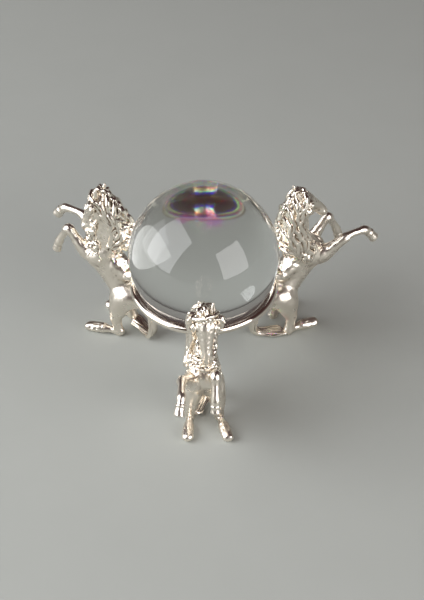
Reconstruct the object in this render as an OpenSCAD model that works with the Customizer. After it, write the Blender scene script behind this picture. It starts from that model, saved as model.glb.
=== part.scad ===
// Crystal ball on a stand of three rearing horses.
// A solid glass ball rests in a plain wire ring. Three cast horses of one pattern stand around it,
// a third of a turn apart and with their backs to the ball, and carry the ring on lugs cast on their
// backs. The front and the left horse tuck their heads in more than the right one does. Each horse
// is soldered up from four castings: the body with both hind legs, the bent left foreleg, the raised
// right foreleg and the tail. The origin is on the table, under the ball.

/* [Ball] */
// Diameter of the ball
ball_d = 60; // [50:1:80]
// Air left between the ball and the wire it rests on
seat_gap = 0.05; // [0.02:0.01:0.2]

/* [Ring] */
// Thickness of the round wire
wire_d = 3.5; // [2.5:0.1:5]
// How far the wire's centre line runs inside the ball's widest circle
ring_inset = 2.1; // [1.5:0.1:5]
// Height of the wire's centre line above the table
ring_h = 38.6; // [32:0.1:47]
// Space for solder between the wire and each lug
solder_gap = 0.05; // [0.02:0.01:0.2]

/* [Lugs] */
// Width of a lug along the ring
lug_w = 12; // [7:0.5:16]
// Thickness of a lug under the wire
lug_d = 3.4; // [2.4:0.1:5]

/* [Horse] */
// Height from the table to the tips of the ears
figure_h = 70; // [58:1:85]
// Width of the barrel across the ribs
barrel_w = 11; // [9:0.5:14]
// Depth of the barrel from back to belly
barrel_d = 11.6; // [9.5:0.1:14]
// Width of the neck
neck_w = 8.2; // [6:0.1:11]
// Depth of the neck where it leaves the chest
neck_d = 12.2; // [9:0.1:15]
// Width of the head between the eyes
head_w = 9.6; // [7.5:0.1:12]
// Thickness of the muzzle
muzzle_d = 4.1; // [3:0.1:6]
// Thickness of the mane's locks on the crest
mane_d = 7.2; // [5:0.1:9]
// How far the front and the left horse tuck their heads in, in degrees
head_tuck = 24; // [0:1:30]

/* [Legs] */
// Distance between the two hocks
hocks_apart = 11.6; // [9:0.1:14]
// Distance between the two hind hooves
hooves_apart = 16; // [12:0.5:20]
// How far the hind hooves stand to the figure's left of its middle
stance_lean = 1.7; // [0:0.1:3]
// Thickness of the thigh
thigh_d = 7.9; // [6:0.1:10]
// Thickness of the upper foreleg at the elbow
forearm_d = 5.4; // [4:0.1:7]
// Thickness of a cannon, the leg's thin lower bone
cannon_d = 3.2; // [2.4:0.1:4.2]
// Diameter of a hoof
hoof_d = 4.2; // [3.4:0.1:5]
// How far the raised right hoof swings out to the side
raised_splay = 9.3; // [6:0.1:12]
// Depth ground off under the feet and the tail so that they sit flat
sole_cut = 0.3; // [0.1:0.05:0.6]

/* [Tail] */
// Width of the tail where it lies on the table
tail_w = 7; // [5:0.5:9]
// Thickness of the tail where it lies on the table
tail_d = 3.2; // [2.4:0.1:4]
// Thickness of the tail where it leaves the rump
dock_d = 4.2; // [3:0.1:5.5]

/* [Hidden] */
HORSES = 3;
TURN = 360 / HORSES;

FRONT = -90;
RIGHT = FRONT + TURN;
LEFT = RIGHT + TURN;

ring_r = ball_d / 2 - ring_inset;
ring_out = ring_r + wire_d / 2;
touch_r = ball_d / 2 + seat_gap + wire_d / 2;
ball_h = ring_h + sqrt(touch_r * touch_r - ring_r * ring_r);

// The figure's grid: one step is a hundredth of its height.
grid = figure_h / 100;
ear_tip_d = 0.8;
neck_share = 0.5;
neck_pivot = at(18, 0, 70);
poll_pivot = at(21, 0, 91);
bead_facets = 18;
round_facets = 96;
wire_facets = 32;
below = 10;

// A place on the figure: steps out past the ring, millimetres to its right, steps above the table.
function at(out, right, up) = [ring_out + out * grid, -right, up * grid];
// A place on the table for a bead of diameter d that is ground flat underneath.
function grounded(out, right, d) = [ring_out + out * grid, -right, d / 2 - sole_cut];
// A place tipped outward about a pivot, by an angle in the horse's own middle plane.
function tipped(place, pivot, angle) =
  let (arm = place - pivot)
  [
    pivot.x + arm.x * cos(angle) + arm.z * sin(angle),
    place.y,
    pivot.z + arm.z * cos(angle) - arm.x * sin(angle)
  ];
// The neck takes its share of a tuck evenly between its middle and the poll.
function bowed(place, tuck) =
  let (bent = max(0, min(1, (place.z - neck_pivot.z) / (poll_pivot.z - neck_pivot.z))))
  tipped(place, neck_pivot, tuck * neck_share * bent);
// The head tips about the poll as well, and goes with the neck.
function nodded(place, tuck) =
  bowed(poll_pivot, tuck) - poll_pivot
  + tipped(place, poll_pivot, tuck);

// One bead: its place, its diameter seen from the side and its width seen from the front.
module bead(b)
  translate(b[0]) scale([1, b[2] / b[1], 1]) sphere(d = b[1], $fn = bead_facets);

module chain(beads)
  for (i = [0 : len(beads) - 2])
    hull() {
      bead(beads[i]);
      bead(beads[i + 1]);
    }

module barrel() {
  chain([
    [at(5, 0, 31), barrel_d * 0.9, barrel_w],
    [at(10.8, 0, 29.5), barrel_d, barrel_w],
    [at(17.6, 0, 37), barrel_d, barrel_w],
    [at(23.7, 0, 45.7), barrel_d, barrel_w],
    [at(28.4, 0, 52.4), barrel_d + 1, barrel_w],
    [at(31.9, 0, 53.9), barrel_d - 1.4, barrel_w]]);
}

module neck(tuck) {
  chain([
    [at(24.6, 0.7, 59), neck_d, neck_w + 1.6],
    [at(18.1, 0.3, 70.6), neck_d * 0.84, neck_w],
    [bowed(at(17.3, 0, 82.2), tuck), neck_d * 0.74, neck_w * 0.9],
    [bowed(at(21, -0.4, 91), tuck), neck_d * 0.6, neck_w * 0.8]]);
}

module head(tuck) {
  poll = nodded(at(22.6, -0.6, 93), tuck);
  chain([
    [poll, head_w * 0.8, head_w * 0.75],
    [nodded(at(28.4, -0.8, 87.9), tuck), head_w * 0.72, head_w * 0.75],
    [nodded(at(35.4, -1, 81.5), tuck), muzzle_d * 1.2, muzzle_d * 1.2],
    [nodded(at(39.2, -1.3, 76.9), tuck), muzzle_d, muzzle_d]]);
  for (side = [-1, 1])
    chain([
      [poll, head_w * 0.6, head_w * 0.6],
      [nodded(at(26.4, side * head_w * 0.38 - 0.7, 91.5), tuck), head_w * 0.4, head_w * 0.4]]);
}

module ear(root, tip)
  chain([[root, ear_tip_d * 3, ear_tip_d * 3], [tip, ear_tip_d, ear_tip_d]]);

module mane(tuck) {
  chain([
    [bowed(at(21.7, 0.3, 95.4), tuck), mane_d * 0.66, mane_d * 0.66],
    [bowed(at(14.4, 0.6, 88), tuck), mane_d * 0.94, mane_d * 0.9],
    [bowed(at(11.5, 0.8, 79.3), tuck), mane_d, mane_d],
    [at(13.3, 1.4, 69.9), mane_d, mane_d],
    [at(19.5, 2.6, 61.1), mane_d * 0.94, mane_d]]);
}

// side is -1 for the figure's left leg and 1 for its right.
module hind_leg(side) {
  hip = at(8.9, side * barrel_w * 0.33, 27.7);
  hock = [11, side * hocks_apart / 2 - 0.3];
  toe = [29.4, side * hooves_apart / 2 - stance_lean];
  function foot(share, d) = let (spot = hock + (toe - hock) * share) grounded(spot.x, spot.y, d);
  chain([
    [at(2, side * barrel_w * 0.27, 26.5), thigh_d, thigh_d],
    [hip, thigh_d * 1.3, thigh_d * 1.25],
    [at(12.1, side * hocks_apart * 0.45, 18.6), thigh_d, thigh_d],
    [at(12.4, side * hocks_apart * 0.5, 10.5), cannon_d * 1.45, cannon_d * 1.45],
    [foot(0, cannon_d * 1.2), cannon_d * 1.2, cannon_d * 1.2],
    [foot(0.3, cannon_d), cannon_d, cannon_d],
    [foot(0.6, hoof_d * 0.95), hoof_d * 0.95, hoof_d],
    [foot(1, hoof_d), hoof_d, hoof_d * 1.1]]);
}

// The cast lug that reaches from the back to the underside of the ring.
module lug() {
  lug_h = ring_h - wire_d / 2;
  reach = (lug_w - lug_d) / 2;
  hull() {
    for (side = [-1, 1])
      bead([[ring_out + 0.4, side * reach, lug_h], lug_d, lug_d]);
    bead([at(9.5, 0, 42), barrel_d * 0.55, barrel_w * 0.7]);
    bead([at(19, 0, 50), barrel_d * 0.55, barrel_w * 0.7]);
  }
}

module body_shape(tuck) {
  barrel();
  neck(tuck);
  head(tuck);
  mane(tuck);
  ear(nodded(at(23.1, -2.4, 96), tuck), nodded(at(24, -3, 99.4), tuck));
  ear(nodded(at(20.5, 0.8, 96.4), tuck), nodded(at(20.2, 0.7, 99.4), tuck));
  for (side = [-1, 1])
    hind_leg(side);
  lug();
}

module bent_shape() {
  chain([
    [at(33.3, -4.1, 52.4), forearm_d * 1.35, forearm_d * 1.2],
    [at(39.9, -4.5, 59.7), forearm_d * 0.9, forearm_d * 0.9],
    [at(45.3, -4.4, 67), cannon_d * 1.2, cannon_d * 1.2],
    [at(49.9, -4.4, 60.4), cannon_d, cannon_d],
    [at(53.1, -4.5, 53.1), cannon_d, cannon_d],
    [at(54.6, -4.5, 48.6), hoof_d, hoof_d]]);
}

module raised_shape() {
  knee_splay = raised_splay * 0.9;
  chain([
    [at(32.6, 3.7, 51.7), forearm_d * 1.55, forearm_d * 1.35],
    [at(38.4, raised_splay * 0.6, 55.3), forearm_d * 1.08, forearm_d],
    [at(42.8, raised_splay * 0.78, 60), cannon_d * 1.35, cannon_d * 1.3],
    [at(47.6, knee_splay, 63.5), cannon_d * 1.05, cannon_d * 1.05],
    [at(55.9, knee_splay, 63.6), cannon_d, cannon_d],
    [at(61.9, knee_splay + 0.1, 62.5), cannon_d * 1.05, cannon_d * 1.05],
    [at(67.1, raised_splay, 56.2), hoof_d, hoof_d]]);
}

module tail_shape() {
  chain([
    [at(0, 0, 27.7), dock_d, dock_d],
    [at(-6.7, -0.6, 18.2), dock_d, dock_d * 1.15],
    [at(-9, -1, 8), dock_d, dock_d * 1.3],
    [grounded(-6.2, -1.2, tail_d), tail_d, tail_w * 0.85],
    [grounded(2, 1.8, tail_d), tail_d, tail_w],
    [grounded(8.2, 3.6, tail_d), tail_d, tail_w]]);
}

module ring_tube(gap)
  rotate_extrude($fn = round_facets)
    translate([ring_r, ring_h])
      circle(d = wire_d + 2 * gap, $fn = wire_facets);

module under_table()
  translate([ring_out, 0, -below / 2])
    cube([3 * figure_h, 3 * figure_h, below], center = true);

module crystal_ball()
  color([0.86, 0.9, 0.88, 0.45])
    translate([0, 0, ball_h])
      sphere(d = ball_d, $fn = round_facets);

module support_ring()
  color("silver")
    ring_tube(0);

module horse_body(turn, tuck)
  color("silver")
    rotate([0, 0, turn])
      difference() {
        body_shape(tuck);
        ring_tube(solder_gap);
        under_table();
      }

module bent_foreleg(turn, tuck)
  color("silver")
    rotate([0, 0, turn])
      difference() {
        bent_shape();
        body_shape(tuck);
      }

module raised_foreleg(turn, tuck)
  color("silver")
    rotate([0, 0, turn])
      difference() {
        raised_shape();
        body_shape(tuck);
      }

module horse_tail(turn)
  color("silver")
    rotate([0, 0, turn])
      difference() {
        tail_shape();
        body_shape(0);
        under_table();
      }

crystal_ball();
support_ring();
horse_body(FRONT, head_tuck);  // front_horse_body
bent_foreleg(FRONT, head_tuck);  // front_horse_bent_foreleg
raised_foreleg(FRONT, head_tuck);  // front_horse_raised_foreleg
horse_tail(FRONT);  // front_horse_tail
horse_body(RIGHT, 0);  // right_horse_body
bent_foreleg(RIGHT, 0);  // right_horse_bent_foreleg
raised_foreleg(RIGHT, 0);  // right_horse_raised_foreleg
horse_tail(RIGHT);  // right_horse_tail
horse_body(LEFT, head_tuck);  // left_horse_body
bent_foreleg(LEFT, head_tuck);  // left_horse_bent_foreleg
raised_foreleg(LEFT, head_tuck);  // left_horse_raised_foreleg
horse_tail(LEFT);  // left_horse_tail
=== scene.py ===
# %% [markdown]
# # A crystal ball on a stand of three rearing horses
# A clear glass ball lies in a ring of thick silver-plated wire. Three small cast horses stand around it
# with their backs to the ball and hold the ring up. In this lesson the ring is swept from a round profile
# and the ball is blown up from a finely cut cube. The horses are modelled the way a sculptor adds wax:
# rounded rods are fused together in a grid of distances, and the grid's surface becomes the mesh. Two
# castings are made, one with a high head and one with a tucked head, and they share their legs and tail.

# %% Load the frame
import math
from itertools import product

import bmesh
import bpy
import numpy as np
from mathutils import Matrix, Vector


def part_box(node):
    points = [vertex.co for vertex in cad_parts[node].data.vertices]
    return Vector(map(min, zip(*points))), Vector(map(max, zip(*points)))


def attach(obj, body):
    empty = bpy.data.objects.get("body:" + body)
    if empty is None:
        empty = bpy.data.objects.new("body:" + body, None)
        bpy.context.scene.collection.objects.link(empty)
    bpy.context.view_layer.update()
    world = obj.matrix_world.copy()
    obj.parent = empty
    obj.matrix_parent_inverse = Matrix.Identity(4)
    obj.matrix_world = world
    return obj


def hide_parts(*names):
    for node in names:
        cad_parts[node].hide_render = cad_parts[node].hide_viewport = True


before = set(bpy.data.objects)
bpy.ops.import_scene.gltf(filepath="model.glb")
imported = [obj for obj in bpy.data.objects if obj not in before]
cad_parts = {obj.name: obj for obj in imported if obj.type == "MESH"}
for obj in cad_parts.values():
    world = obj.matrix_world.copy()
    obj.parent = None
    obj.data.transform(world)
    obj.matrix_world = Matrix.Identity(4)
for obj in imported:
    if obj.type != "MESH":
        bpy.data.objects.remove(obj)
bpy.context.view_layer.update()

# %% [markdown]
# ## Sizes taken from the frame
# The ball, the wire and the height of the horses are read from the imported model, so the visual model
# follows it. Sizes are in millimetres. A place on a horse is counted in steps of a hundredth of the
# horse's height, outwards and upwards, and in millimetres to its right.

# %% Read the sizes
MM = 0.001
ball_low, ball_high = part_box("crystal_ball")
ring_low, ring_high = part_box("support_ring")
ball_radius = (ball_high.z - ball_low.z) / 2 / MM
ball_height = (ball_high.z + ball_low.z) / 2 / MM
wire_radius = (ring_high.z - ring_low.z) / 2 / MM
ring_height = (ring_high.z + ring_low.z) / 2 / MM
ring_edge = (ring_high.x - ring_low.x) / 2 / MM
ring_radius = ring_edge - wire_radius
figure_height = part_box("front_horse_body")[1].z / MM
grid_step = figure_height / 100
HORSES = {"front": -90, "right": 30, "left": 150}
print("ball", round(2 * ball_radius, 2), "wire", round(2 * wire_radius, 2), "horse", round(figure_height, 2))


def at(out, right, up):
    """A place on a horse: grid steps out past the ring, millimetres to its right, grid steps up."""
    return np.array([ring_edge + out * grid_step, -right, up * grid_step])


# %% [markdown]
# ## The camera
# The camera looks down on the table at about forty degrees through a long lens, from the front horse's
# side. A long lens keeps the three horses nearly the same size. The camera is placed on a circle around
# the ball's axis by its elevation, and is aimed at a point halfway up the stand.

# %% Camera
ELEVATION = math.radians(40.65)
DISTANCE = 0.856
AIM_HEIGHT = 0.0367
YAW = math.radians(0.22)
PITCH = math.radians(0.32)
SENSOR = 24.0
FOCAL = 85.2

forward = Vector((0, math.cos(ELEVATION), -math.sin(ELEVATION)))
upward = Vector((0, math.sin(ELEVATION), math.cos(ELEVATION)))
sideways = Vector((1, 0, 0))
aim = Matrix((sideways, upward, -forward)).transposed()
nudge = Matrix.Rotation(-YAW, 3, "Y") @ Matrix.Rotation(-PITCH, 3, "X")
camera_data = bpy.data.cameras.new("camera")
camera_data.sensor_fit = "VERTICAL"
camera_data.sensor_height = SENSOR
camera_data.lens = FOCAL
camera = bpy.data.objects.new("camera", camera_data)
camera.matrix_world = (aim @ nudge).to_4x4()
camera.location = Vector((0, 0, AIM_HEIGHT)) - forward * DISTANCE
bpy.context.scene.collection.objects.link(camera)
bpy.context.scene.camera = camera
bpy.context.scene.view_settings.view_transform = "Standard"
print("camera at", [round(x, 3) for x in camera.location])

# %% [markdown]
# ## Shader maths as Python
# A material is a small program made of nodes. Wiring each node by hand hides what it computes, so one
# class wraps an output socket and turns plus, minus, times and divide into Math nodes. Every other node
# comes from one method that takes the node's type, its settings and its inputs.


# %% Shader helper
class Wire:
    """One output socket of a node tree, with arithmetic."""

    def __init__(self, tree, socket):
        self.tree = tree
        self.socket = socket

    def node(self, kind, settings=None, output=0, **inputs):
        return add_node(self.tree, kind, settings, output, **inputs)

    def maths(self, operation, a, b):
        return self.node("ShaderNodeMath", {"operation": operation}, i0=a, i1=b)

    def __add__(self, other):
        return self.maths("ADD", self, other)

    def __sub__(self, other):
        return self.maths("SUBTRACT", self, other)

    def __mul__(self, other):
        return self.maths("MULTIPLY", self, other)

    def __rsub__(self, other):
        return self.maths("SUBTRACT", other, self)

    __radd__ = __add__
    __rmul__ = __mul__

    def between(self, low, high):
        """0 at low, 1 at high, smooth between them."""
        settings = {"interpolation_type": "SMOOTHSTEP"}
        return self.node("ShaderNodeMapRange", settings, Value=self, From_Min=low, From_Max=high)

    def mix(self, a, b):
        """Colour a where this is 0 and b where it is 1."""
        settings = {"data_type": "RGBA"}
        return self.node("ShaderNodeMix", settings, 2, i0=self, i6=a, i7=b)


def add_node(tree, kind, settings=None, output=0, **inputs):
    """Adds a node; an input is named by its socket, with _ for a space, or by its number as i0, i1..."""
    made = tree.nodes.new(kind)
    for key, value in (settings or {}).items():
        setattr(made, key, value)
    for key, value in inputs.items():
        numbered = key[0] == "i" and key[1:].isdigit()
        socket = made.inputs[int(key[1:])] if numbered else made.inputs[key.replace("_", " ")]
        if isinstance(value, Wire):
            tree.links.new(value.socket, socket)
        else:
            socket.default_value = value
    return Wire(tree, made.outputs[output])


def new_material(name):
    """An empty material: its tree, its main shader and the wire of object coordinates."""
    material = bpy.data.materials.new(name)
    material.use_nodes = True
    tree = material.node_tree
    shader = tree.nodes["Principled BSDF"]
    place = add_node(tree, "ShaderNodeTexCoord", output=3)
    return material, tree, shader, place


def noise(tree, place, scale, detail):
    return add_node(tree, "ShaderNodeTexNoise", Vector=place, Scale=scale, Detail=detail)


def connect(tree, wire, shader, socket):
    tree.links.new(wire.socket, shader.inputs[socket])


# %% [markdown]
# ## Silver plate
# The castings are plated after they are soldered together. On the drawn wire the plate is nearly a
# mirror. On the castings it is satin: the metal below is slightly wavy and tiny pits stay in the broad
# surfaces. Painted shade turns the hollows brown and rougher, most of all in the hair. The
# attribute called groove, which each casting carries, is 1 in a hollow and 0 on a ridge.


# %% Silver plate material
def silver_plate(name, polish, wave, pits, painted_shade):
    material, tree, shader, place = new_material(name)
    groove = add_node(tree, "ShaderNodeAttribute", {"attribute_name": "groove"}, 2)
    cloudy = noise(tree, place, 160.0, 4.0)
    fine = noise(tree, place, 1500.0, 2.0)
    pit = add_node(tree, "ShaderNodeTexVoronoi", Vector=place, Scale=900.0)
    patch = noise(tree, place, 120.0, 2.0).between(0.52, 0.66)
    pit_depth = (1 - pit.between(0.05, 0.3)) * patch * pits
    # painted shade: the hollows, found by the groove attribute, are coloured dark brown and made rougher
    painted_groove_shade = groove.between(0.5, 0.85) * painted_shade
    bright = cloudy.mix((0.93, 0.865, 0.77, 1), (0.87, 0.80, 0.70, 1))
    colour = painted_groove_shade.mix(bright, (0.22, 0.165, 0.11, 1))
    connect(tree, colour, shader, "Base Color")
    connect(tree, polish + cloudy * 0.08 + painted_groove_shade * 0.25 + pit_depth * 0.2, shader, "Roughness")
    shader.inputs["Metallic"].default_value = 1.0
    height = cloudy * wave + fine * (wave * 0.12) - pit_depth * 0.5
    bump = add_node(tree, "ShaderNodeBump", Strength=0.5, Distance=0.0003, Height=height)
    connect(tree, bump, shader, "Normal")
    return material


plate_smooth = silver_plate("silver_plate_body", 0.24, 0.6, 0.8, 0.75)
plate_hair = silver_plate("silver_plate_hair", 0.2, 0.8, 0.2, 1.0)
plate_wire = silver_plate("silver_plate_wire", 0.05, 0.18, 0.0, 0.0)
print("plating materials:", plate_smooth.name, plate_hair.name, plate_wire.name)

# %% [markdown]
# ## Clear glass
# A solid ball acts as a strong lens: it turns what is behind it upside down and squeezes the ring into a
# small ellipse near its top. That comes from the refraction itself, so the material only needs clear
# glass with a very faint grey-green tint and a perfectly polished surface. Real glass also bends blue more
# than red, everywhere in the ball. Here that is only imitated, where it shows: in a cap at the top of
# the ball, three coloured refractions are mixed in. Their indices lie further apart than in real glass,
# and all these numbers were chosen. Elsewhere the colours would only add grain.

# %% Glass material
GLASS_INDEX = 1.498
BAND_SPREAD = (-0.009, 0.0, 0.008)
BAND_COLOURS = ((1, 0, 0, 1), (0, 1, 0, 1), (0, 0, 1, 1))
CAP_STARTS = 0.84
CAP_FULL = 0.9
CAP_SHARE = 0.55


def clear_glass():
    material, tree, shader, place = new_material("clear_crystal")
    smear = noise(tree, place, 60.0, 3.0).between(0.5, 0.75) * 0.01
    shader.inputs["Base Color"].default_value = (0.95, 0.975, 0.955, 1)
    shader.inputs["Transmission Weight"].default_value = 1.0
    shader.inputs["IOR"].default_value = GLASS_INDEX
    connect(tree, smear, shader, "Roughness")
    bands = [
        add_node(tree, "ShaderNodeBsdfRefraction", Color=colour, IOR=GLASS_INDEX + spread)
        for colour, spread in zip(BAND_COLOURS, BAND_SPREAD)]
    red_green = add_node(tree, "ShaderNodeAddShader", i0=bands[0], i1=bands[1])
    rainbow = add_node(tree, "ShaderNodeAddShader", i0=red_green, i1=bands[2])
    up = add_node(tree, "ShaderNodeSeparateXYZ", output=2, Vector=place)
    cap = up.between(*((ball_height + share * ball_radius) * MM for share in (CAP_STARTS, CAP_FULL)))
    plain = Wire(tree, shader.outputs[0])
    surface = add_node(tree, "ShaderNodeMixShader", i0=cap * CAP_SHARE, i1=plain, i2=rainbow)
    tree.links.new(surface.socket, tree.nodes["Material Output"].inputs["Surface"])
    return material


crystal = clear_glass()

# %% [markdown]
# ## A grid of distances
# A sculptor's wax model has no hard seams: every limb flows into the next. Joining separate meshes would
# leave a sharp line at each crossing. So the shape is kept as a distance at each point of a fine grid,
# below zero inside the metal. Two shapes are fused by taking the smaller distance, and a smooth minimum
# leaves a fillet. The mesh is the net of points where the distance changes sign.

# %% Distance grid
FAR = 9.0


def spline(points, per_leg=6):
    """A smooth curve through rows of numbers, which may be places, diameters or both."""
    rows = np.array(points, float)
    padded = np.vstack([2 * rows[0] - rows[1], rows, 2 * rows[-1] - rows[-2]])
    curve = []
    for a, b, c, d in zip(padded, padded[1:], padded[2:], padded[3:]):
        for t in np.arange(per_leg) / per_leg:
            curve.append(
                0.5 * (2 * b + (c - a) * t + (2 * a - 5 * b + 4 * c - d) * t**2
                       + (3 * b - a - 3 * c + d) * t**3))
    curve.append(rows[-1])
    return np.array(curve)


class Casting:
    """Metal kept as distances on a grid, in millimetres: below zero is inside."""

    def __init__(self, low, high, step):
        self.low = np.array(low, float)
        self.step = step
        self.axes = [np.arange(a, b, step) for a, b in zip(low, high)]
        self.depth = np.full([len(a) for a in self.axes], FAR, np.float32)

    def copy(self):
        twin = object.__new__(Casting)
        twin.low, twin.step, twin.axes, twin.depth = self.low, self.step, self.axes, self.depth.copy()
        return twin

    def window(self, low, high):
        """The part of the grid between two corners, and its coordinates."""
        spans = tuple(
            slice(*np.searchsorted(axis, (a, b))) for axis, a, b in zip(self.axes, low, high))
        x, y, z = (axis[span].astype(np.float32) for axis, span in zip(self.axes, spans))
        return spans, (x[:, None, None], y[None, :, None], z[None, None, :])

    def everywhere(self):
        return self.window(self.low, [axis[-1] + self.step for axis in self.axes])

    def fuse(self, spans, distance, blend=0.0):
        """Adds metal, with a fillet about as wide as blend."""
        old = self.depth[spans]
        if blend > 0:
            share = np.clip(0.5 + 0.5 * (old - distance) / blend, 0, 1)
            self.depth[spans] = old + (distance - old) * share - blend * share * (1 - share)
        else:
            self.depth[spans] = np.minimum(old, distance)

    def carve(self, spans, distance, blend=0.0):
        """Takes metal away where the distance is below zero."""
        old = self.depth[spans]
        share = np.clip(0.5 + 0.5 * (old + distance) / max(blend, 1e-6), 0, 1)
        self.depth[spans] = -distance + (old + distance) * share + blend * share * (1 - share)

    def rod_distance(self, beads, margin, per_leg=6):
        """Distance to a tapered rod through beads of place, diameter and width across the horse."""
        rows = spline(beads, per_leg)
        reach = rows[:, 3:].max() / 2 + margin
        spans, _ = self.window(rows[:, :3].min(0) - reach, rows[:, :3].max(0) + reach)
        whole = np.full([s.stop - s.start for s in spans], FAR, np.float32)
        for a, b in zip(rows, rows[1:]):
            reach = max(a[3], b[3], a[4], b[4]) / 2 + margin
            inner, (x, y, z) = self.window(
                np.minimum(a, b)[:3] - reach, np.maximum(a, b)[:3] + reach)
            flat = (a[4] + b[4]) / (a[3] + b[3])
            along = (b - a)[:3] / (1, flat, 1)
            x, y, z = x - a[0], (y - a[1]) / flat, z - a[2]
            size = max(float(along @ along), 1e-9)
            t = np.clip((x * along[0] + y * along[1] + z * along[2]) / size, 0, 1)
            gap = np.sqrt(
                (x - t * along[0]) ** 2 + (y - t * along[1]) ** 2 + (z - t * along[2]) ** 2)
            gap = (gap - (a[3] + (b[3] - a[3]) * t) / 2) * min(1.0, flat)
            part = tuple(
                slice(i.start - s.start, i.stop - s.start) for i, s in zip(inner, spans))
            whole[part] = np.minimum(whole[part], gap)
        return spans, whole

    def add(self, beads, blend=1.0, per_leg=6):
        """Fuses a rod; a bead is a place, its diameter and, if it isn't round, its width."""
        rows = [[*place, size[0], size[-1]] for place, *size in beads]
        self.fuse(*self.rod_distance(rows, blend + 2 * self.step, per_leg), blend)

    def hollow(self, beads, blend=0.3):
        rows = [[*place, size[0], size[-1]] for place, *size in beads]
        self.carve(*self.rod_distance(rows, blend + 2 * self.step), blend)

    def hoop(self, centre, axis, radius, thickness, blend=0.2):
        """Fuses a small round hoop, such as an eyelid."""
        axis = np.array(axis, float) / np.linalg.norm(axis)
        reach = radius + thickness + blend + 1
        spans, (x, y, z) = self.window(centre - reach, centre + reach)
        x, y, z = x - centre[0], y - centre[1], z - centre[2]
        height = x * axis[0] + y * axis[1] + z * axis[2]
        across = np.sqrt(np.maximum(x * x + y * y + z * z - height * height, 0))
        self.fuse(spans, np.sqrt((across - radius) ** 2 + height * height) - thickness / 2, blend)

    def slice_off(self, point, normal, reach, blend=0.0):
        """Takes away what lies beyond a plane, within reach of a point."""
        normal = np.array(normal, float) / np.linalg.norm(normal)
        spans, (x, y, z) = self.window(point - reach, point + reach)
        beyond = (x - point[0]) * normal[0] + (y - point[1]) * normal[1] + (z - point[2]) * normal[2]
        near = np.sqrt((x - point[0]) ** 2 + (y - point[1]) ** 2 + (z - point[2]) ** 2) - reach
        self.carve(spans, np.maximum(-beyond, near), blend)

    def roughen(self, rng, cell, amount, where=1.0):
        """Gives the surface the grain of a rough casting: smooth random waves about a cell wide."""
        grain = rng.random([int(len(axis) * self.step / cell) + 3 for axis in self.axes], np.float32) * 2 - 1
        for i, axis in enumerate(self.axes):
            place = (axis - self.low[i]) / cell
            low = place.astype(int)
            share = place - low
            share = (share * share * (3 - 2 * share)).reshape([-1 if i == j else 1 for j in range(3)])
            first = np.take(grain, low, axis=i)
            grain = first + (np.take(grain, low + 1, axis=i) - first) * share.astype(np.float32)
        self.depth += amount * grain * where

    def sample(self, points):
        """The distance at loose points, by trilinear interpolation."""
        cell = (np.asarray(points, float) - self.low) / self.step
        cell = np.clip(cell, 0, np.array(self.depth.shape) - 1.001)
        base = cell.astype(int)
        share = cell - base
        total = np.zeros(len(cell))
        for corner in product((0, 1), repeat=3):
            weight = np.prod(np.where(corner, share, 1 - share), axis=1)
            total += weight * self.depth[tuple((base + corner).T)]
        return total

    def slope(self, points):
        """The direction away from the metal at loose points."""
        points = np.asarray(points, float)
        steps = np.eye(3) * self.step
        slope = np.array([self.sample(points + s) - self.sample(points - s) for s in steps]).T
        return slope / np.maximum(np.linalg.norm(slope, axis=1, keepdims=True), 1e-6)

    def settle(self, points, height):
        """Moves points to that height above the metal's surface."""
        for _ in range(5):
            points = points - self.slope(points) * (self.sample(points) - height)[:, None]
        return points

    def net(self):
        """Points and four-sided faces of the surface, closed where it would leave the grid."""
        inside = np.zeros(self.depth.shape, bool)
        inside[1:-1, 1:-1, 1:-1] = True
        depth = np.where(inside, self.depth, np.maximum(self.depth, self.step))
        solid = depth < 0
        count = np.zeros(np.array(depth.shape) - 1, np.uint8)
        for i, j, k in product((0, 1), repeat=3):
            count += solid[i:i - 1 or None, j:j - 1 or None, k:k - 1 or None]
        mixed = (count > 0) & (count < 8)
        cells = np.argwhere(mixed)
        number = np.full(mixed.shape, -1, np.int64)
        number[mixed] = np.arange(len(cells))
        total = np.zeros((len(cells), 3))
        hits = np.zeros((len(cells), 1))
        for axis in range(3):
            for shift in product((0, 1), repeat=2):
                start = cells + np.insert(shift, axis, 0)
                end = start + np.eye(3, dtype=int)[axis]
                a, b = depth[tuple(start.T)], depth[tuple(end.T)]
                cross = ((a < 0) != (b < 0))[:, None]
                share = (a / np.where(a == b, 1, a - b))[:, None]
                total += np.where(cross, start + share * (end - start), 0)
                hits += cross
        points = self.low + self.step * total / hits
        faces = []
        for axis in range(3):
            u, v = (axis + 1) % 3, (axis + 2) % 3
            swapped = np.moveaxis(solid, (axis, u, v), (0, 1, 2))
            names = np.moveaxis(number, (axis, u, v), (0, 1, 2))
            change = swapped[:-1, 1:-1, 1:-1] != swapped[1:, 1:-1, 1:-1]
            i, j, k = np.nonzero(change)
            ring = [names[i, j + a, k + b] for a, b in ((0, 0), (1, 0), (1, 1), (0, 1))]
            outward = swapped[i, j + 1, k + 1]
            quad = np.array(ring).T
            faces.append(np.where(outward[:, None], quad, quad[:, ::-1]))
        return points, np.vstack(faces)


def without_crumbs(points, faces, least=100):
    """Drops loose pieces of the net that have fewer points than least."""
    island = np.arange(len(points))
    while True:
        lowest = island[faces].min(axis=1)
        joined = island.copy()
        for corner in faces.T:
            np.minimum.at(joined, corner, lowest)
        joined = joined[joined]
        if np.array_equal(joined, island):
            break
        island = joined
    kept = np.bincount(island, minlength=len(points))[island] >= least
    number = np.cumsum(kept) - 1
    return points[kept], number[faces[kept[faces[:, 0]]]]


def relax(points, faces, rounds):
    """Evens the points out. Also gives back the function that averages over a point's neighbours."""
    pairs = np.vstack([faces[:, [i, (i + 1) % 4]] for i in range(4)])
    a, b = np.vstack([pairs, pairs[:, ::-1]]).T
    many = np.maximum(np.bincount(a, minlength=len(points)), 1)[:, None]

    def mean(values):
        return np.array([np.bincount(a, values[b, i], len(points)) for i in range(values.shape[1])]).T / many

    for _ in range(rounds):
        points = points + 0.5 * (mean(points) - points)
    return points, mean


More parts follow.
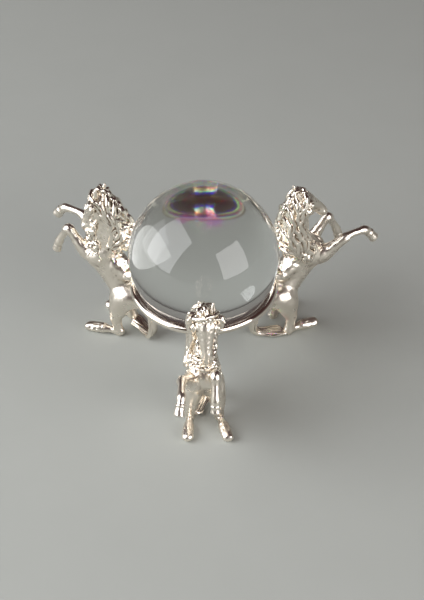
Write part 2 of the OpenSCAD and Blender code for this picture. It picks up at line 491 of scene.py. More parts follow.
def groove_of(points, faces, mean, reach=5):
    """1 in a hollow, 0 on a ridge, one half where the surface is even."""
    corners = points[faces]
    across = np.cross(corners[:, 2] - corners[:, 0], corners[:, 3] - corners[:, 1])
    normals = np.zeros_like(points)
    for i in range(4):
        for c in range(3):
            normals[:, c] += np.bincount(faces[:, i], across[:, c], len(points))
    normals /= np.maximum(np.linalg.norm(normals, axis=1, keepdims=True), 1e-9)
    wide = points
    for _ in range(reach):
        wide = mean(wide)
    lift = ((wide - points) * normals).sum(1, keepdims=True)
    lift = mean(lift)
    return np.clip(0.5 + lift[:, 0] * 6, 0, 1)


def casting_mesh(name, casting, rounds=2):
    """Turns a casting into a mesh in metres that carries the groove attribute."""
    points, faces = without_crumbs(*casting.net())
    points, mean = relax(points, faces, rounds)
    groove = groove_of(points, faces, mean)
    mesh = bpy.data.meshes.new(name)
    mesh.vertices.add(len(points))
    mesh.vertices.foreach_set("co", (points * MM).astype(np.float32).ravel())
    mesh.loops.add(faces.size)
    mesh.loops.foreach_set("vertex_index", faces.astype(np.int32).ravel())
    mesh.polygons.add(len(faces))
    mesh.polygons.foreach_set("loop_start", np.arange(0, faces.size, 4, dtype=np.int32))
    mesh.update(calc_edges=True)
    mesh.validate()
    mesh.polygons.foreach_set("use_smooth", np.ones(len(faces), bool))
    mesh.attributes.new("groove", "FLOAT", "POINT").data.foreach_set("value", groove.astype(np.float32))
    print(name, "has", len(points), "points and", 2 * len(faces), "triangles")
    return mesh


BODY_STEP = 0.25
HAIR_STEP = 0.2
MANE_STEP = 0.23

# %% [markdown]
# ## The horse's trunk
# The barrel rises steeply from the rump to the chest. Each part of the trunk is a tapered rod through a
# few beads, and the fillets between the rods make the withers, the flank and the elbow. All three horses
# share this trunk, so it is made once.

# %% Trunk
trunk = Casting((24, -13, -1), (62, 13, 72), BODY_STEP)


def barrel(figure):
    figure.add([
        (at(3.5, 0, 31.0), 8.6, 9.4), (at(8.5, 0, 29.8), 11.2, 10.8), (at(13.0, 0, 32.2), 11.4, 10.8),
        (at(17.4, 0, 37.4), 11.4, 10.6), (at(23.5, 0, 45.7), 12.2, 11.2),
        (at(28.2, 0, 52.0), 12.6, 11.6), (at(31.6, 0, 54.4), 10.4, 9.6)])


def shoulders(figure):
    for side in (-1, 1):
        figure.add([
            (at(22.5, side * 3.0, 55.0), 6.0, 4.6), (at(28.0, side * 3.5, 51.5), 8.8, 6.6),
            (at(32.0, side * 3.6, 52.0), 7.6, 6.0)], 2.0)
        figure.hollow([
            (at(25.0, side * 6.6, 47.0), 1.4), (at(29.5, side * 6.6, 46.6), 2.0),
            (at(33.5, side * 5.6, 48.4), 1.2)], 1.6)


barrel(trunk)
shoulders(trunk)
print("metal so far:", int((trunk.depth < 0).sum()), "grid points")

# %% [markdown]
# ## Hind legs
# The horse squats on its hocks: the thighs come down steeply, and both feet lie flat on the table and
# point outwards. A short thin shin leaves the round hock and soon swells into a long hoof. The right and
# left foot differ a little, as on the real casting.


# %% Hind legs
def hind_leg(side, foot):
    knee, gaskin, cannon, hock, toe = foot
    trunk.add([
        (at(1.6, side * 2.9, 27.5), 7.6, 6.6), (at(6.0, side * 3.4, 28.2), 10.2, 8.4),
        (at(10.2, side * 3.7, 26.2), 11.0, 8.6)], 1.4)
    trunk.add([
        (at(9.4, side * 3.7, 27.0), 10.8, 8.8), (at(11.2, side * 4.6, 22.0), 9.4, 8.0),
        (knee, 7.4, 6.8), (gaskin, 5.4, 5.2), (cannon, 4.3, 3.9), (hock, 4.3, 4.0)], 1.2)
    trunk.hollow([
        (at(11.0, side * 8.1, 34.6), 1.0), (at(14.2, side * 8.0, 32.0), 2.0),
        (at(16.2, side * 7.6, 28.0), 1.2)], 1.4)

    def along(share, lift=0.0):
        return hock + (toe - hock) * share + (0, 0, lift)

    trunk.add([
        (hock, 4.3, 4.0), (along(0.24, 0.1), 2.9, 2.8), (along(0.42, 0.2), 3.5, 3.6),
        (along(0.56, 0.3), 4.1, 4.4), (along(0.78, 0.1), 4.3, 4.8), (along(1.0), 3.7, 4.6)], 0.5)
    trunk.hoop(along(0.52, 0.3), toe - hock, 1.85, 0.7, 0.4)
    for turn, depth in ((0.4, 0.5), (1.3, 0.4), (2.1, 0.5)):
        ridge = np.array([0, 2.5 * math.cos(turn), 2.3 * math.sin(turn)])
        trunk.hollow([(along(0.62) + ridge, depth), (along(0.98) + ridge, depth * 0.8)], 0.3)


LEFT_FOOT = (
    at(12.1, -5.3, 17.6), at(13.0, -5.9, 13.0), at(12.4, -6.1, 8.4), at(10.8, -6.1, 2.8),
    at(29.0, -9.5, 2.6))
RIGHT_FOOT = (
    at(12.1, 4.8, 17.6), at(13.2, 5.2, 13.0), at(12.8, 5.3, 8.4), at(11.6, 5.5, 2.8),
    at(28.9, 6.4, 2.6))
hind_leg(-1, LEFT_FOOT)
hind_leg(1, RIGHT_FOOT)

# %% [markdown]
# ## The lug and the solder
# The horse's back stands clear of the ring, so the casting carries a broad saddle from the loin in to the
# wire. The soldering iron left a thin fillet of solder under the wire, a little uneven.


# %% Lug and solder
def on_wire(degrees, outside, lift):
    """A place beside the wire, seen from the horse's own middle plane."""
    angle = math.radians(degrees)
    radius = ring_radius + outside
    return np.array([radius * math.cos(angle), radius * math.sin(angle), ring_height + lift])


def lug():
    for side in (-1, 0, 1):
        trunk.add([
            (at(16.0, side * 2.0, 48.2), 5.6, 5.0), (at(8.8, side * 2.0, 43.6), 4.8, 4.6),
            (at(3.2, side * 2.4, 46.8), 3.6, 4.2), (on_wire(side * 7, 0.9, -1.5), 2.8, 4.0)], 2.6)
    beads = [(-14, 0.9), (-11, 1.7), (-6, 2.1), (-1, 1.9), (4, 2.2), (9, 1.9), (12, 1.0)]
    trunk.add([(on_wire(turn, 1.0, -1.1), size) for turn, size in beads], 0.8)


BALL_GAP = 0.2


def clear_of_ball(casting):
    """Keeps the ball free to lift out of the ring."""
    spans, (x, y, z) = casting.everywhere()
    casting.carve(spans, np.sqrt(x**2 + y**2 + (z - ball_height) ** 2) - ball_radius - BALL_GAP)


lug()

# %% [markdown]
# ## Neck and head
# The right horse carries its head high, and the other two tuck theirs in towards the chest. Modelling
# two heads would double the work, so each bead of the neck is bent about the neck's middle, and each bead
# of the head is tipped about the poll as well. A tuck of no degrees leaves the high head as it is.

# %% Tucking
NECK_PIVOT = at(18, 0, 70)
POLL_PIVOT = at(21, 0, 91)
NECK_SHARE = 0.5
TUCKS = {"high": 0.0, "tucked": math.radians(24)}
CARRIAGE = {"front": "tucked", "right": "high", "left": "tucked"}


def tipped(place, pivot, angle):
    """A place tipped outward about a pivot, in the horse's own middle plane."""
    x, y, z = place - pivot
    return pivot + (x * math.cos(angle) + z * math.sin(angle), y, z * math.cos(angle) - x * math.sin(angle))


def bowed(place, tuck):
    """The neck takes its share of the tuck evenly between its middle and the poll."""
    bent = np.clip((place[2] - NECK_PIVOT[2]) / (POLL_PIVOT[2] - NECK_PIVOT[2]), 0, 1)
    return tipped(place, NECK_PIVOT, tuck * NECK_SHARE * bent)


def nodded(place, tuck):
    """The head goes with the neck, and tips about the poll as well."""
    return bowed(POLL_PIVOT, tuck) - POLL_PIVOT + tipped(place, POLL_PIVOT, tuck)


def moved(beads, move, tuck):
    return [(move(place, tuck), *size) for place, *size in beads]


# %% Neck and head
def neck(figure, tuck):
    figure.add(moved([
        (at(25.4, 0.9, 57.5), 12.6, 10.0), (at(21.0, 0.7, 64.5), 11.2, 9.2),
        (at(18.3, 0.4, 70.6), 10.4, 8.6), (at(17.4, 0.2, 76.5), 9.8, 8.0), (at(17.9, 0.0, 82.2), 9.2, 7.6),
        (at(19.5, -0.2, 87.0), 8.4, 7.2), (at(21.6, -0.4, 91.2), 7.6, 6.6)], bowed, tuck), 2.0)


def head(figure, tuck):
    figure.add(moved([
        (at(22.0, -0.5, 92.6), 8.0, 7.0), (at(25.5, -0.65, 90.6), 7.8, 7.0),
        (at(28.8, -0.8, 87.6), 6.8, 6.2), (at(32.2, -0.9, 84.6), 5.6, 4.8),
        (at(35.6, -1.05, 81.3), 4.8, 4.2), (at(38.2, -1.2, 78.2), 4.6, 4.4),
        (at(39.4, -1.3, 76.6), 3.9, 3.9)], nodded, tuck), 1.6)
    for side in (-1, 1):
        figure.add(moved([
            (at(24.6, side * 2.4 - 0.6, 86.0), 6.0, 2.8), (at(27.2, side * 2.3 - 0.7, 84.8), 5.4, 2.6)],
            nodded, tuck), 0.8)
        figure.add(moved([
            (at(27.5, side * 1.8 - 0.8, 90.6), 2.6), (at(33.5, side * 1.3 - 1.0, 84.6), 1.6)],
            nodded, tuck), 0.8)
        figure.hollow(moved([
            (at(30.2, side * 3.1 - 0.9, 84.6), 1.8), (at(34.6, side * 2.6 - 1.1, 80.6), 1.5)],
            nodded, tuck), 0.8)


def eye(figure, tuck, centre, outward):
    outward = np.array(outward) / np.linalg.norm(outward)
    outward = nodded(centre + outward, tuck) - nodded(centre, tuck)
    centre = nodded(centre, tuck)
    figure.add([(centre - outward * 1.6, 4.2), (centre - outward * 0.4, 3.2)], 0.8)
    figure.hollow([(centre + outward * 0.6, 2.4), (centre + outward * 1.6, 2.8)], 0.2)
    figure.hoop(centre + outward * 0.3, outward, 1.6, 0.8, 0.2)
    figure.add([(centre, 2.4), (centre + outward * 0.3, 2.4)], 0.0)


def muzzle(figure, tuck):
    for side in (-1, 1):
        nostril = at(39.2, side * 1.6 - 1.3, 78.4)
        figure.add(moved([(nostril - (0.3, 0, 0), 2.1), (nostril, 1.9)], nodded, tuck), 0.5)
        figure.hollow(moved([
            (nostril + (0.3, -side * 0.5, 0.1), 0.8), (nostril + (0.9, -side * 0.8, -0.2), 0.9)],
            nodded, tuck), 0.15)
        figure.hollow(moved([
            (at(38.2, side * 2.1 - 1.3, 75.6), 0.5), (at(36.0, side * 2.3 - 1.2, 78.0), 0.5)],
            nodded, tuck), 0.2)


def ear(figure, tuck, root, tip, front):
    middle = (root + tip) / 2 + (0.1, 0, 0)
    figure.add(moved([(root, 2.4), (middle, 2.5, 2.3), (tip, 1.0)], nodded, tuck), 0.5)
    figure.hollow(moved([
        (middle + front, 0.9), (tip + np.array(front) * 0.6, 0.4)], nodded, tuck), 0.2)


def whole_head(figure, tuck):
    neck(figure, tuck)
    head(figure, tuck)
    eye(figure, tuck, at(26.2, 3.7, 91.0), (0.35, -0.92, 0.15))
    eye(figure, tuck, at(26.8, -5.1, 91.9), (0.35, 0.92, 0.15))
    muzzle(figure, tuck)
    back = 3.0 if tuck else 0.0
    ear(figure, tuck, at(21.8, -2.8, 94.6), at(20.2 - back, -3.6, 100.4 + back * 0.5), (0.9, 0.3, 0.0))
    ear(figure, tuck, at(20.8, 1.4, 94.6), at(18.8 - back, 1.8, 100.2 + back * 0.5), (0.9, -0.3, 0.0))


# %% [markdown]
# ## Combing the mane
# The mane is a mass of thick wavy locks. A single noisy surface would look like moss, and hair particles
# would be far too fine for a casting. So each lock is a tapered rod that runs from the crest to the
# mane's front edge. On its way it waves, and it is pressed onto the surface of the neck.

# %% Crest and edges of the mane
CREST = [at(26.5, -0.8, 95.2), at(21.5, -0.2, 96.2), at(15.4, 0.4, 93.8), at(10.6, 0.7, 87.8),
         at(8.0, 1.0, 79.5), at(8.6, 1.4, 71.0), at(12.2, 2.0, 63.0), at(17.0, 2.6, 57.0)]
RIGHT_EDGE = [at(22.6, 3.4, 93.6), at(21.0, 4.8, 88.6), at(21.6, 5.0, 81.4), at(24.0, 5.2, 73.6),
              at(25.4, 5.6, 66.4), at(26.4, 6.0, 60.6), at(25.4, 6.0, 55.8), at(22.4, 5.6, 52.8)]
LEFT_EDGE = [at(22.8, -4.4, 94.4), at(20.2, -5.2, 91.0), at(17.6, -4.6, 87.0), at(15.0, -4.2, 82.0),
             at(13.6, -4.0, 76.6), at(14.0, -4.0, 71.0), at(16.0, -4.2, 66.0), at(18.6, -4.4, 61.0)]


def point_on(curve, share):
    place = np.clip(share, 0, 1) * (len(curve) - 1)
    low = np.minimum(place.astype(int), len(curve) - 2)
    return curve[low] + (curve[low + 1] - curve[low]) * (place - low)[:, None]


def bent_curve(points, tuck):
    """The head's end of a line nods with the head, and the rest bows with the neck."""
    poll = POLL_PIVOT[2] + 0.5
    return spline([nodded(p, tuck) if p[2] > poll else bowed(p, tuck) for p in points], 12)


def lock(figure, mane, rng, start, end, side, thick, height):
    """One lock between two places, pressed onto the neck's left (-1), right (1) or back (0)."""
    run = np.linspace(0, 1, 11)[:, None]
    place = start + (end - start) * run
    place[:, 1] -= side * 3.0 * np.sin(run[:, 0] * math.pi) ** 0.7
    tangent = np.gradient(place, axis=0)
    tangent /= np.linalg.norm(tangent, axis=1, keepdims=True)
    sidestep = np.cross(tangent, (0, 1, 0))
    wave = np.sin(run[:, 0] * (6 + 5 * rng.random()) + rng.random() * 6) * (0.5 + 0.4 * rng.random())
    place = figure.settle(place, height + 0.25 * rng.random()) + sidestep * wave[:, None]
    width = thick * (0.5 + 0.6 * np.sin(np.clip(run[:, 0] * 2.7 + 0.45, 0, 3.05)))
    mane.add([(p, w) for p, w in zip(place, width)], 0.12, 2)


def comb(figure, mane, tuck, rng):
    crest = bent_curve(CREST, tuck)
    for side, edge, rows, many in ((1, RIGHT_EDGE, 4, 7), (-1, LEFT_EDGE, 3, 7)):
        front = bent_curve(edge, tuck)
        for layer in range(2):
            for row in np.linspace(0.0, 0.78, rows):
                for share in np.linspace(0.07, 0.78, many) + 0.05 * rng.random(many):
                    ends = np.array([share, share + 0.26 + 0.12 * rng.random()])
                    drift = np.array([row, row + 0.2 + 0.1 * rng.random()])[:, None]
                    start, end = point_on(crest, ends) * (1 - drift) + point_on(front, ends) * drift
                    lock(figure, mane, rng, start, end, side, 1.4 + 0.8 * rng.random(), 0.2 + 0.55 * layer)
    for share in np.linspace(0.1, 0.88, 26):
        start, end = point_on(crest, np.array([share, share + 0.14]))
        start = start + (0, 1.6 * (rng.random() - 0.5), 0)
        lock(figure, mane, rng, start, end, 0, 1.3 + 0.7 * rng.random(), 0.6)


# %% [markdown]
# ## Tufts and curls
# Short locks stand off the head: a forelock behind the brow and, on the tucked head, a tuft below each
# ear, which makes it look wide from the front. Below the throat the coat is modelled as small curls,
# and three long folds run down the front of the neck.


# %% Tufts, curls and folds
def tufts(figure, mane, tuck, rng):
    for number in range(9):
        across = number / 4 - 1
        start = nodded(at(21.5 + rng.random(), across * 1.9 - 0.6, 95.6), tuck)
        end = nodded(at(24.8 + 1.4 * rng.random(), across * 1.8 - 0.8, 94.2 + rng.random()), tuck)
        lock(figure, mane, rng, start, end, 0, 1.0 + 0.3 * rng.random(), 0.0)
    for side in (-1, 1) if tuck else ():
        cheek = nodded(at(22.6, side * 5.6 - 0.4, 93.0), tuck)
        mane.add([(nodded(at(21.0, side * 2.6, 93.0), tuck), 3.4), (cheek, 3.4),
                  (cheek + (0.4, -side * 0.6, -3.0), 2.0)], 0.6)
        for number in range(16):
            start = nodded(at(20.0 + 4 * rng.random(), side * 3.2 - 0.6, 96.0 - 6 * rng.random()), tuck)
            fall = np.array([
                0.9 - 1.8 * rng.random(), -side * (2.4 + 1.8 * rng.random()), -2.8 * rng.random()])
            curl = start + fall * 0.5 + (0.5 - rng.random(), -side * 0.9, 0.5)
            mane.add([(start, 1.5), (curl, 1.6), (start + fall, 0.9)], 0.2, 4)


def curls(figure, mane, rng):
    for _ in range(60):
        side = -1 if rng.random() < 0.75 else 1
        start = at(24.0 + 9.0 * rng.random(), side * (3.0 + 2.6 * rng.random()), 54.5 + 10.0 * rng.random())
        turn = rng.random() * 2 * math.pi
        step = np.array([math.cos(turn), 0.3 * side, math.sin(turn)]) * (0.8 + 0.5 * rng.random())
        bend = np.array([-step[2], 0, step[0]]) * 0.8
        path = figure.settle([start, start + step, start + step + bend], 0.05)
        mane.add([(p, 0.75) for p in path], 0.15, 3)


def folds(figure, tuck):
    for right, size in ((-2.6, 1.2), (-0.4, 1.0), (1.8, 1.3)):
        line = [at(34.0, right, 58.0), at(31.0, right * 0.9, 64.0), at(27.6, right * 0.8, 70.0),
                at(25.0, right * 0.7, 77.0)]
        path = figure.settle([bowed(p, tuck) for p in line], 0.1)
        figure.hollow([(p, size) for p in path], 0.35)


def ruff(figure, mane, tuck, rng):
    """Where the head is tucked, the chest's long coat fills the gap up to the jaw."""
    jaw = nodded(at(31.0, -0.8, 82.6), tuck)
    throat = bowed(at(23.5, -0.4, 78.0), tuck)
    chest = at(30.5, -0.6, 58.5)
    figure.add([(chest, 6.8, 6.8), ((chest + throat) / 2, 6.6, 6.6), (throat, 5.4, 5.4)], 2.0)
    figure.add([(chest, 6.2, 6.2), ((chest + jaw) / 2, 5.4, 5.4), (jaw, 4.4, 4.2)], 2.0)
    for _ in range(34):
        share = rng.random()
        side = -1 if rng.random() < 0.5 else 1
        start = chest + (jaw - chest) * share + (-1.5 * rng.random(), side * 2.2, 1.0)
        end = start + (1.4 * rng.random() - 0.4, 0, -4.0 - 2.0 * rng.random())
        lock(figure, mane, rng, start, end, side, 1.0 + 0.5 * rng.random(), 0.0)


# %% Both carriages
MANE_FOOT = 60
MANE_SINK = (0.6, 0, -1.3)


def ramp(value, start, width):
    """0 up to start, then rising to 1 over a width."""
    return np.clip((value - start) / width, 0, 1)


def coarse_where(x, z):
    """How much coarser the grain is: on the chest and head, at the feet and on the lug."""
    chest = ramp(z, 41.0, 3) * ramp(x, 44.0, 3)
    return chest + ramp(-z, -5.0, 2) + ramp(-x, -42.5, 2) * ramp(z, 27.0, 3) * ramp(-z, -42.0, 2)


def mane_core(figure, mane, tuck):
    core = moved([
        (at(22.0, 0.2, 93.6), 4.2), (at(17.2, 0.5, 91.6), 5.2), (at(13.8, 0.7, 86.8), 6.0),
        (at(11.8, 0.9, 79.3), 6.4), (at(12.4, 1.3, 71.0), 6.6), (at(16.0, 2.0, 63.6), 6.6),
        (at(20.0, 2.6, 59.0), 5.6)], bowed, tuck)
    if tuck:
        core = [(place + MANE_SINK if place[2] > MANE_FOOT else place, size) for place, size in core]
    figure.add([(place, size) for place, size in core], 1.0)
    mane.add([(place, size - 0.8) for place, size in core], 0.5)


bodies, manes = {}, {}
for carriage, tuck in TUCKS.items():
    bodies[carriage] = figure = trunk.copy()
    manes[carriage] = mane = Casting((31, -11, 35), (61, 11, 72), MANE_STEP)
    whole_head(figure, tuck)
    mane_core(figure, mane, tuck)
    rng = np.random.default_rng(7)
    if tuck:
        ruff(figure, mane, tuck, rng)
    folds(figure, tuck)
    comb(figure, mane, tuck, rng)
    tufts(figure, mane, tuck, rng)
    curls(figure, mane, rng)
    _, (x, _, z) = figure.everywhere()
    figure.roughen(rng, 1.0, 0.04, 1 + 2.5 * coarse_where(x, z))
    mane.roughen(rng, 0.9, 0.07)
    clear_of_ball(figure)
    clear_of_ball(mane)
    print(carriage, "head modelled")

# %% [markdown]
# ## Forelegs
# The left foreleg is folded at the knee and the right one reaches forward. Each was cast by itself, so
# each is a closed piece of its own that ends inside the shoulder.

# %% Forelegs
bent = Casting((48, 0, 29), (73, 9, 51), HAIR_STEP)
raised = Casting((47, -13, 29), (84, 0, 51), HAIR_STEP)


def hoof(casting, top, tip, size, widen=1.25):
    """A hoof that flares from the hair line at top to a hollowed sole at tip."""
    top, tip = np.array(top), np.array(tip)
    line = (tip - top) / np.linalg.norm(tip - top)
    casting.add([(top, size * 0.88), (tip + line, size * widen)], 0.5)
    casting.slice_off(tip, line, size * 1.6, 0.5)
    casting.hoop(top, line, size * 0.42, size * 0.26, 0.3)
    casting.hollow([(tip + line * 0.9, size * 0.62), (tip + line * 0.5, size * 0.6)], 0.3)


def bent_foreleg():
    bent.add([
        (at(31.4, -3.0, 51.8), 7.4, 5.8), (at(34.2, -4.0, 53.4), 6.8, 5.5), (at(38.4, -4.4, 58.0), 5.2, 4.7),
        (at(42.2, -4.4, 62.8), 4.0, 3.9), (at(44.8, -4.4, 66.0), 4.3, 4.3), (at(46.6, -4.4, 65.8), 4.2, 4.2),
        (at(48.4, -4.4, 62.6), 3.3, 3.2), (at(51.0, -4.45, 58.2), 3.2, 3.1),
        (at(53.0, -4.5, 53.8), 3.8, 3.7), (at(53.8, -4.5, 51.4), 3.2, 3.2)], 0.3)
    hoof(bent, at(53.9, -4.5, 51.0), at(55.0, -4.5, 47.0), 3.6)


def raised_foreleg():
    raised.add([
        (at(31.5, 3.0, 51.0), 9.0, 7.0), (at(34.8, 4.2, 51.8), 8.6, 7.2), (at(38.6, 5.7, 54.8), 6.2, 5.6),
        (at(42.8, 7.3, 59.6), 4.6, 4.3), (at(46.6, 8.2, 62.8), 4.3, 4.2), (at(49.0, 8.3, 63.8), 3.5, 3.4),
        (at(52.5, 8.35, 64.3), 3.0, 2.9), (at(57.0, 8.35, 64.2), 3.2, 3.1), (at(60.4, 8.4, 63.6), 4.0, 3.7),
        (at(63.0, 8.6, 61.4), 3.3, 3.2)], 0.3)
    raised.hollow([
        (at(33.6, 8.4, 49.8), 1.0), (at(36.6, 9.2, 53.2), 1.5), (at(38.6, 9.8, 57.6), 0.9)], 0.9)
    hoof(raised, at(63.4, 8.7, 60.8), at(66.8, 9.3, 55.8), 3.8)


bent_foreleg()
raised_foreleg()
rng = np.random.default_rng(23)
for leg in (bent, raised):
    leg.roughen(rng, 1.3, 0.1)

# %% [markdown]
# ## The tail
# The tail hangs from the dock, bends where it meets the table and runs outwards beside the right hock.
# It is a bundle of flat strands: one core, and strands laid side by side over it that wave a little.

# %% Tail
tail = Casting((18, -10, -1), (42, 6, 24), HAIR_STEP)
TAIL_PATH = [
    (at(1.0, 0.0, 28.4), 3.4, 3.4), (at(-3.6, -0.3, 24.0), 3.6, 4.0), (at(-7.4, -0.7, 16.5), 3.4, 5.0),
    (at(-8.9, -0.9, 9.0), 3.0, 5.6), (at(-7.4, -1.0, 3.6), 2.6, 6.0), (at(-2.6, 0.4, 2.0), 2.2, 6.4),
    (at(3.0, 2.2, 1.9), 2.1, 6.6), (at(8.4, 3.6, 1.9), 1.9, 6.2)]
tail.add([(place, d, w * 0.86) for place, d, w in TAIL_PATH], 0.3)


def tail_strands(many):
    rng = np.random.default_rng(11)
    rows = spline([[*place, d, w] for place, d, w in TAIL_PATH], 4)
    run = np.linspace(0, 1, len(rows))
    for number in range(many):
        share = 2 * number / (many - 1) - 1
        for layer in (-1, 1):
            wave = 0.35 * np.sin(run * (9 + 3 * rng.random()) + 6 * rng.random())
            place = rows[:, :3].copy()
            place[:, 1] += share * rows[:, 4] * 0.43 + wave
            normal = np.cross(np.gradient(rows[:, :3], axis=0), (0, 1, 0))
            normal /= np.linalg.norm(normal, axis=1, keepdims=True)
            place += layer * normal * (rows[:, 3:4] * 0.36) * math.sqrt(max(0.1, 1 - share * share))
            width = 1.15 * (0.7 + 0.3 * np.sin(run * 8 + number * 2))
            tail.add([(p, w) for p, w in zip(place, width)], 0.15, 2)


tail_strands(6)

# %% [markdown]
# ## Grinding flat
# The finished stand is rubbed on a flat plate until it doesn't rock, so the feet and the tail are cut
# off level at the table's height.


# %% Flat soles
def grind_flat(casting):
    spans, (x, y, z) = casting.everywhere()
    casting.carve(spans, z + 0 * x + 0 * y)


for casting in (*bodies.values(), tail):
    grind_flat(casting)
meshes = {carriage: {
    "body": casting_mesh(f"horse_body_{carriage}", bodies[carriage], 3),
    "mane": casting_mesh(f"horse_mane_{carriage}", manes[carriage], 1)} for carriage in TUCKS}
shared = {
    "bent_foreleg": casting_mesh("bent_foreleg_casting", bent, 3),
    "raised_foreleg": casting_mesh("raised_foreleg_casting", raised, 3),
    "tail": casting_mesh("tail_casting", tail, 1)}

# %% [markdown]
# ## Three castings around the ring
# Each place at the ring gets the casting whose head it carries, and the same legs and tail. A small
# Geometry Nodes tree turns a casting about the ring's axis by a given angle, and gives it its plating.
# Each result is then kept as a plain mesh.


# %% Turning tree
def piece_tree(name, sizes):
    """A tree with named sizes and a plating as inputs, and the nodes that take them in and out."""
    tree = bpy.data.node_groups.new(name, "GeometryNodeTree")
    tree.interface.new_socket("Geometry", in_out="INPUT", socket_type="NodeSocketGeometry")
    for size in sizes:
        tree.interface.new_socket(size, in_out="INPUT", socket_type="NodeSocketFloat")
    tree.interface.new_socket("Plating", in_out="INPUT", socket_type="NodeSocketMaterial")
    tree.interface.new_socket("Geometry", in_out="OUTPUT", socket_type="NodeSocketGeometry")
    return tree, tree.nodes.new("NodeGroupInput"), tree.nodes.new("NodeGroupOutput")


def join(tree, *pairs):
    for a, b in pairs:
        tree.links.new(a, b)


def finish_tree(tree, start, end, shape):
    """Makes the instances real, plates the shape and sends it out."""
    real = tree.nodes.new("GeometryNodeRealizeInstances")
    paint = tree.nodes.new("GeometryNodeSetMaterial")
    join(tree, (shape, real.inputs[0]), (real.outputs[0], paint.inputs["Geometry"]),
         (start.outputs["Plating"], paint.inputs["Material"]), (paint.outputs[0], end.inputs[0]))


def turning_tree():
    tree, start, end = piece_tree("turn_about_the_axis", ["Angle"])
    spin = tree.nodes.new("ShaderNodeCombineXYZ")
    turn = tree.nodes.new("GeometryNodeTransform")
    join(tree, (start.outputs["Angle"], spin.inputs["Z"]), (spin.outputs[0], turn.inputs["Rotation"]),
         (start.outputs["Geometry"], turn.inputs["Geometry"]))
    finish_tree(tree, start, end, turn.outputs[0])
    return tree


def socket_id(tree, name):
    """The identifier of a tree's named input."""
    return next(
        item.identifier for item in tree.interface.items_tree
        if item.in_out == "INPUT" and item.name == name)


def bake_tree(name, mesh, tree, values, body_name):
    """Runs a tree on a mesh and keeps the result as a plain object that rides on a body."""
    helper = bpy.data.objects.new(name + "_helper", mesh)
    bpy.context.scene.collection.objects.link(helper)
    modifier = helper.modifiers.new("tree", "NODES")
    modifier.node_group = tree
    for key, value in values.items():
        modifier[socket_id(tree, key)] = value
    graph = bpy.context.evaluated_depsgraph_get()
    result = bpy.data.meshes.new_from_object(helper.evaluated_get(graph))
    bpy.data.objects.remove(helper)
    result.name = name
    piece = bpy.data.objects.new(name, result)
    bpy.context.scene.collection.objects.link(piece)
    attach(piece, body_name)
    return piece


turning = turning_tree()
for horse, degrees in HORSES.items():
    for part, mesh in {**meshes[CARRIAGE[horse]], **shared}.items():
        plating = plate_hair if part in ("mane", "tail") else plate_smooth
        values = {"Angle": math.radians(degrees), "Plating": plating}
        piece = bake_tree(f"{horse}_{part}_casting", mesh, turning, values, "stand")
        if part != "mane":
            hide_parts(f"{horse}_horse_{part}")
print("castings placed around the ring")

# %% [markdown]
# ## The ring
# The ring is one piece of round wire bent to a circle. A curve circle with a round profile swept along it
# is the natural way to make it, and the tree keeps its two radii as named inputs.

# %% Ring
RING_CORNERS = 240
WIRE_CORNERS = 48


def ring_tree():
    tree, start, end = piece_tree("bent_wire_ring", ["Ring Radius", "Wire Radius", "Height"])
    sweep = tree.nodes.new("GeometryNodeCurveToMesh")
    for size, corners, socket in (
            ("Ring Radius", RING_CORNERS, "Curve"), ("Wire Radius", WIRE_CORNERS, "Profile Curve")):
        circle = tree.nodes.new("GeometryNodeCurvePrimitiveCircle")
        circle.inputs["Resolution"].default_value = corners
        join(tree, (start.outputs[size], circle.inputs["Radius"]),
             (circle.outputs["Curve"], sweep.inputs[socket]))
    lift = tree.nodes.new("ShaderNodeCombineXYZ")
    move = tree.nodes.new("GeometryNodeTransform")
    smooth = tree.nodes.new("GeometryNodeSetShadeSmooth")
    join(tree, (start.outputs["Height"], lift.inputs["Z"]), (lift.outputs[0], move.inputs["Translation"]),
         (sweep.outputs[0], move.inputs["Geometry"]), (move.outputs[0], smooth.inputs["Geometry"]))
    finish_tree(tree, start, end, smooth.outputs[0])
    return tree


wire = bake_tree(
    "support_wire", bpy.data.meshes.new("seed"), ring_tree(),
    {"Ring Radius": ring_radius * MM, "Wire Radius": wire_radius * MM, "Height": ring_height * MM,
     "Plating": plate_wire}, "stand")
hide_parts("support_ring")
print("ring has", len(wire.data.polygons), "faces")

# %% [markdown]
# ## The ball
# A glass ball shows every facet of a coarse mesh, because it magnifies them. A cube whose faces are cut
# into a fine grid and blown up to a ball has even faces everywhere and no poles, so the lens stays clean.


# %% Ball
def blown_cube(name, radius, height, cuts):
    ticks = np.tan(np.linspace(-math.pi / 4, math.pi / 4, cuts + 1))
    points, faces = [], []
    for axis in range(3):
        for end in (-1, 1):
            first = len(points)
            for u in ticks:
                for v in ticks:
                    corner = np.roll([end, u, v * end], axis)
                    points.append(corner / np.linalg.norm(corner) * radius)
            for i in range(cuts):
                for j in range(cuts):
                    a = first + i * (cuts + 1) + j
                    faces.append((a, a + cuts + 1, a + cuts + 2, a + 1))
    mesh = bpy.data.meshes.new(name)
    mesh.from_pydata([tuple(p + (0, 0, height)) for p in points], [], faces)
    return mesh


ball_mesh = blown_cube("glass_ball", ball_radius * MM, ball_height * MM, 96)
work = bmesh.new()
work.from_mesh(ball_mesh)
bmesh.ops.remove_doubles(work, verts=work.verts, dist=1e-7)
bmesh.ops.recalc_face_normals(work, faces=work.faces)
work.to_mesh(ball_mesh)
work.free()
ball_mesh.polygons.foreach_set("use_smooth", np.ones(len(ball_mesh.polygons), bool))
ball_mesh.materials.append(crystal)
ball = bpy.data.objects.new("glass_ball", ball_mesh)
bpy.context.scene.collection.objects.link(ball)
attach(ball, "ball")
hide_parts("crystal_ball")
print("ball has", len(ball_mesh.polygons), "faces")

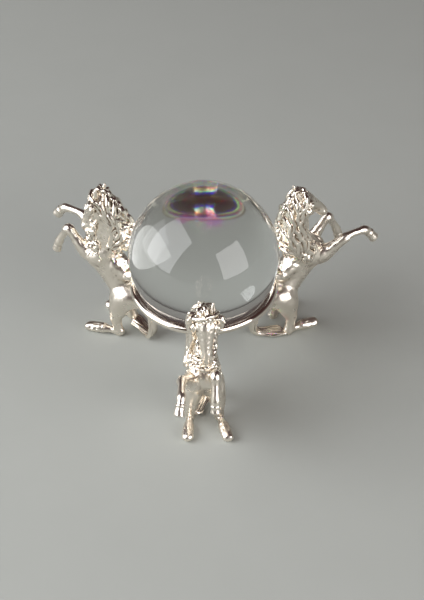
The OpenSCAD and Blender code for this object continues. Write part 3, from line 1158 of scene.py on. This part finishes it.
# %% [markdown]
# ## Table and light
# A plain pale table and large soft lights show polished metal best: the metal takes its shading from
# what it mirrors. Two big soft boxes stand at the left and a smaller one at the right. The room around
# is dim and a little warm, which gives the plate its dark streaks.


# %% Table
def table():
    material, tree, shader, place = new_material("pale_table")
    grain = noise(tree, place, 40.0, 4.0)
    connect(tree, grain.mix((0.41, 0.427, 0.398, 1), (0.43, 0.447, 0.418, 1)), shader, "Base Color")
    shader.inputs["Roughness"].default_value = 0.75
    mesh = bpy.data.meshes.new("table")
    reach = 3.0
    mesh.from_pydata(
        [(-reach, -reach, 0), (reach, -reach, 0), (reach, reach, 0), (-reach, reach, 0)], [], [(0, 1, 2, 3)])
    mesh.materials.append(material)
    top = bpy.data.objects.new("table", mesh)
    bpy.context.scene.collection.objects.link(top)


table()


# %% Lights
def soft_box(name, direction, distance, width, height, power, colour=(1, 1, 1)):
    light = bpy.data.lights.new(name, "AREA")
    light.shape = "RECTANGLE"
    light.size = width
    light.size_y = height
    light.energy = power
    light.color = colour
    lamp = bpy.data.objects.new(name, light)
    target = Vector((0, 0, ball_height * MM))
    place = target + Vector(direction).normalized() * distance
    lamp.location = place
    lamp.rotation_euler = (target - place).to_track_quat("-Z", "Y").to_euler()
    bpy.context.scene.collection.objects.link(lamp)


soft_box("left_soft_box", (-0.82, -0.25, 0.52), 0.9, 0.9, 1.1, 12, (0.97, 0.98, 1.0))
soft_box("far_left_soft_box", (-0.95, 0.09, 0.29), 1.1, 0.8, 0.8, 3.5, (0.97, 0.98, 1.0))
soft_box("right_soft_box", (0.70, -0.63, 0.35), 0.9, 0.7, 0.7, 6, (1.0, 0.98, 0.98))


def room():
    world = bpy.data.worlds.new("room")
    world.use_nodes = True
    tree = world.node_tree
    place = add_node(tree, "ShaderNodeTexCoord", output=0)
    parts = add_node(tree, "ShaderNodeSeparateXYZ", output=2, Vector=place)
    overhead = parts.between(0.02, 0.45)
    colour = overhead.mix((0.26, 0.25, 0.235, 1), (0.055, 0.028, 0.028, 1))
    back = tree.nodes["Background"]
    tree.links.new(colour.socket, back.inputs["Color"])
    back.inputs["Strength"].default_value = 0.9
    bpy.context.scene.world = world


room()
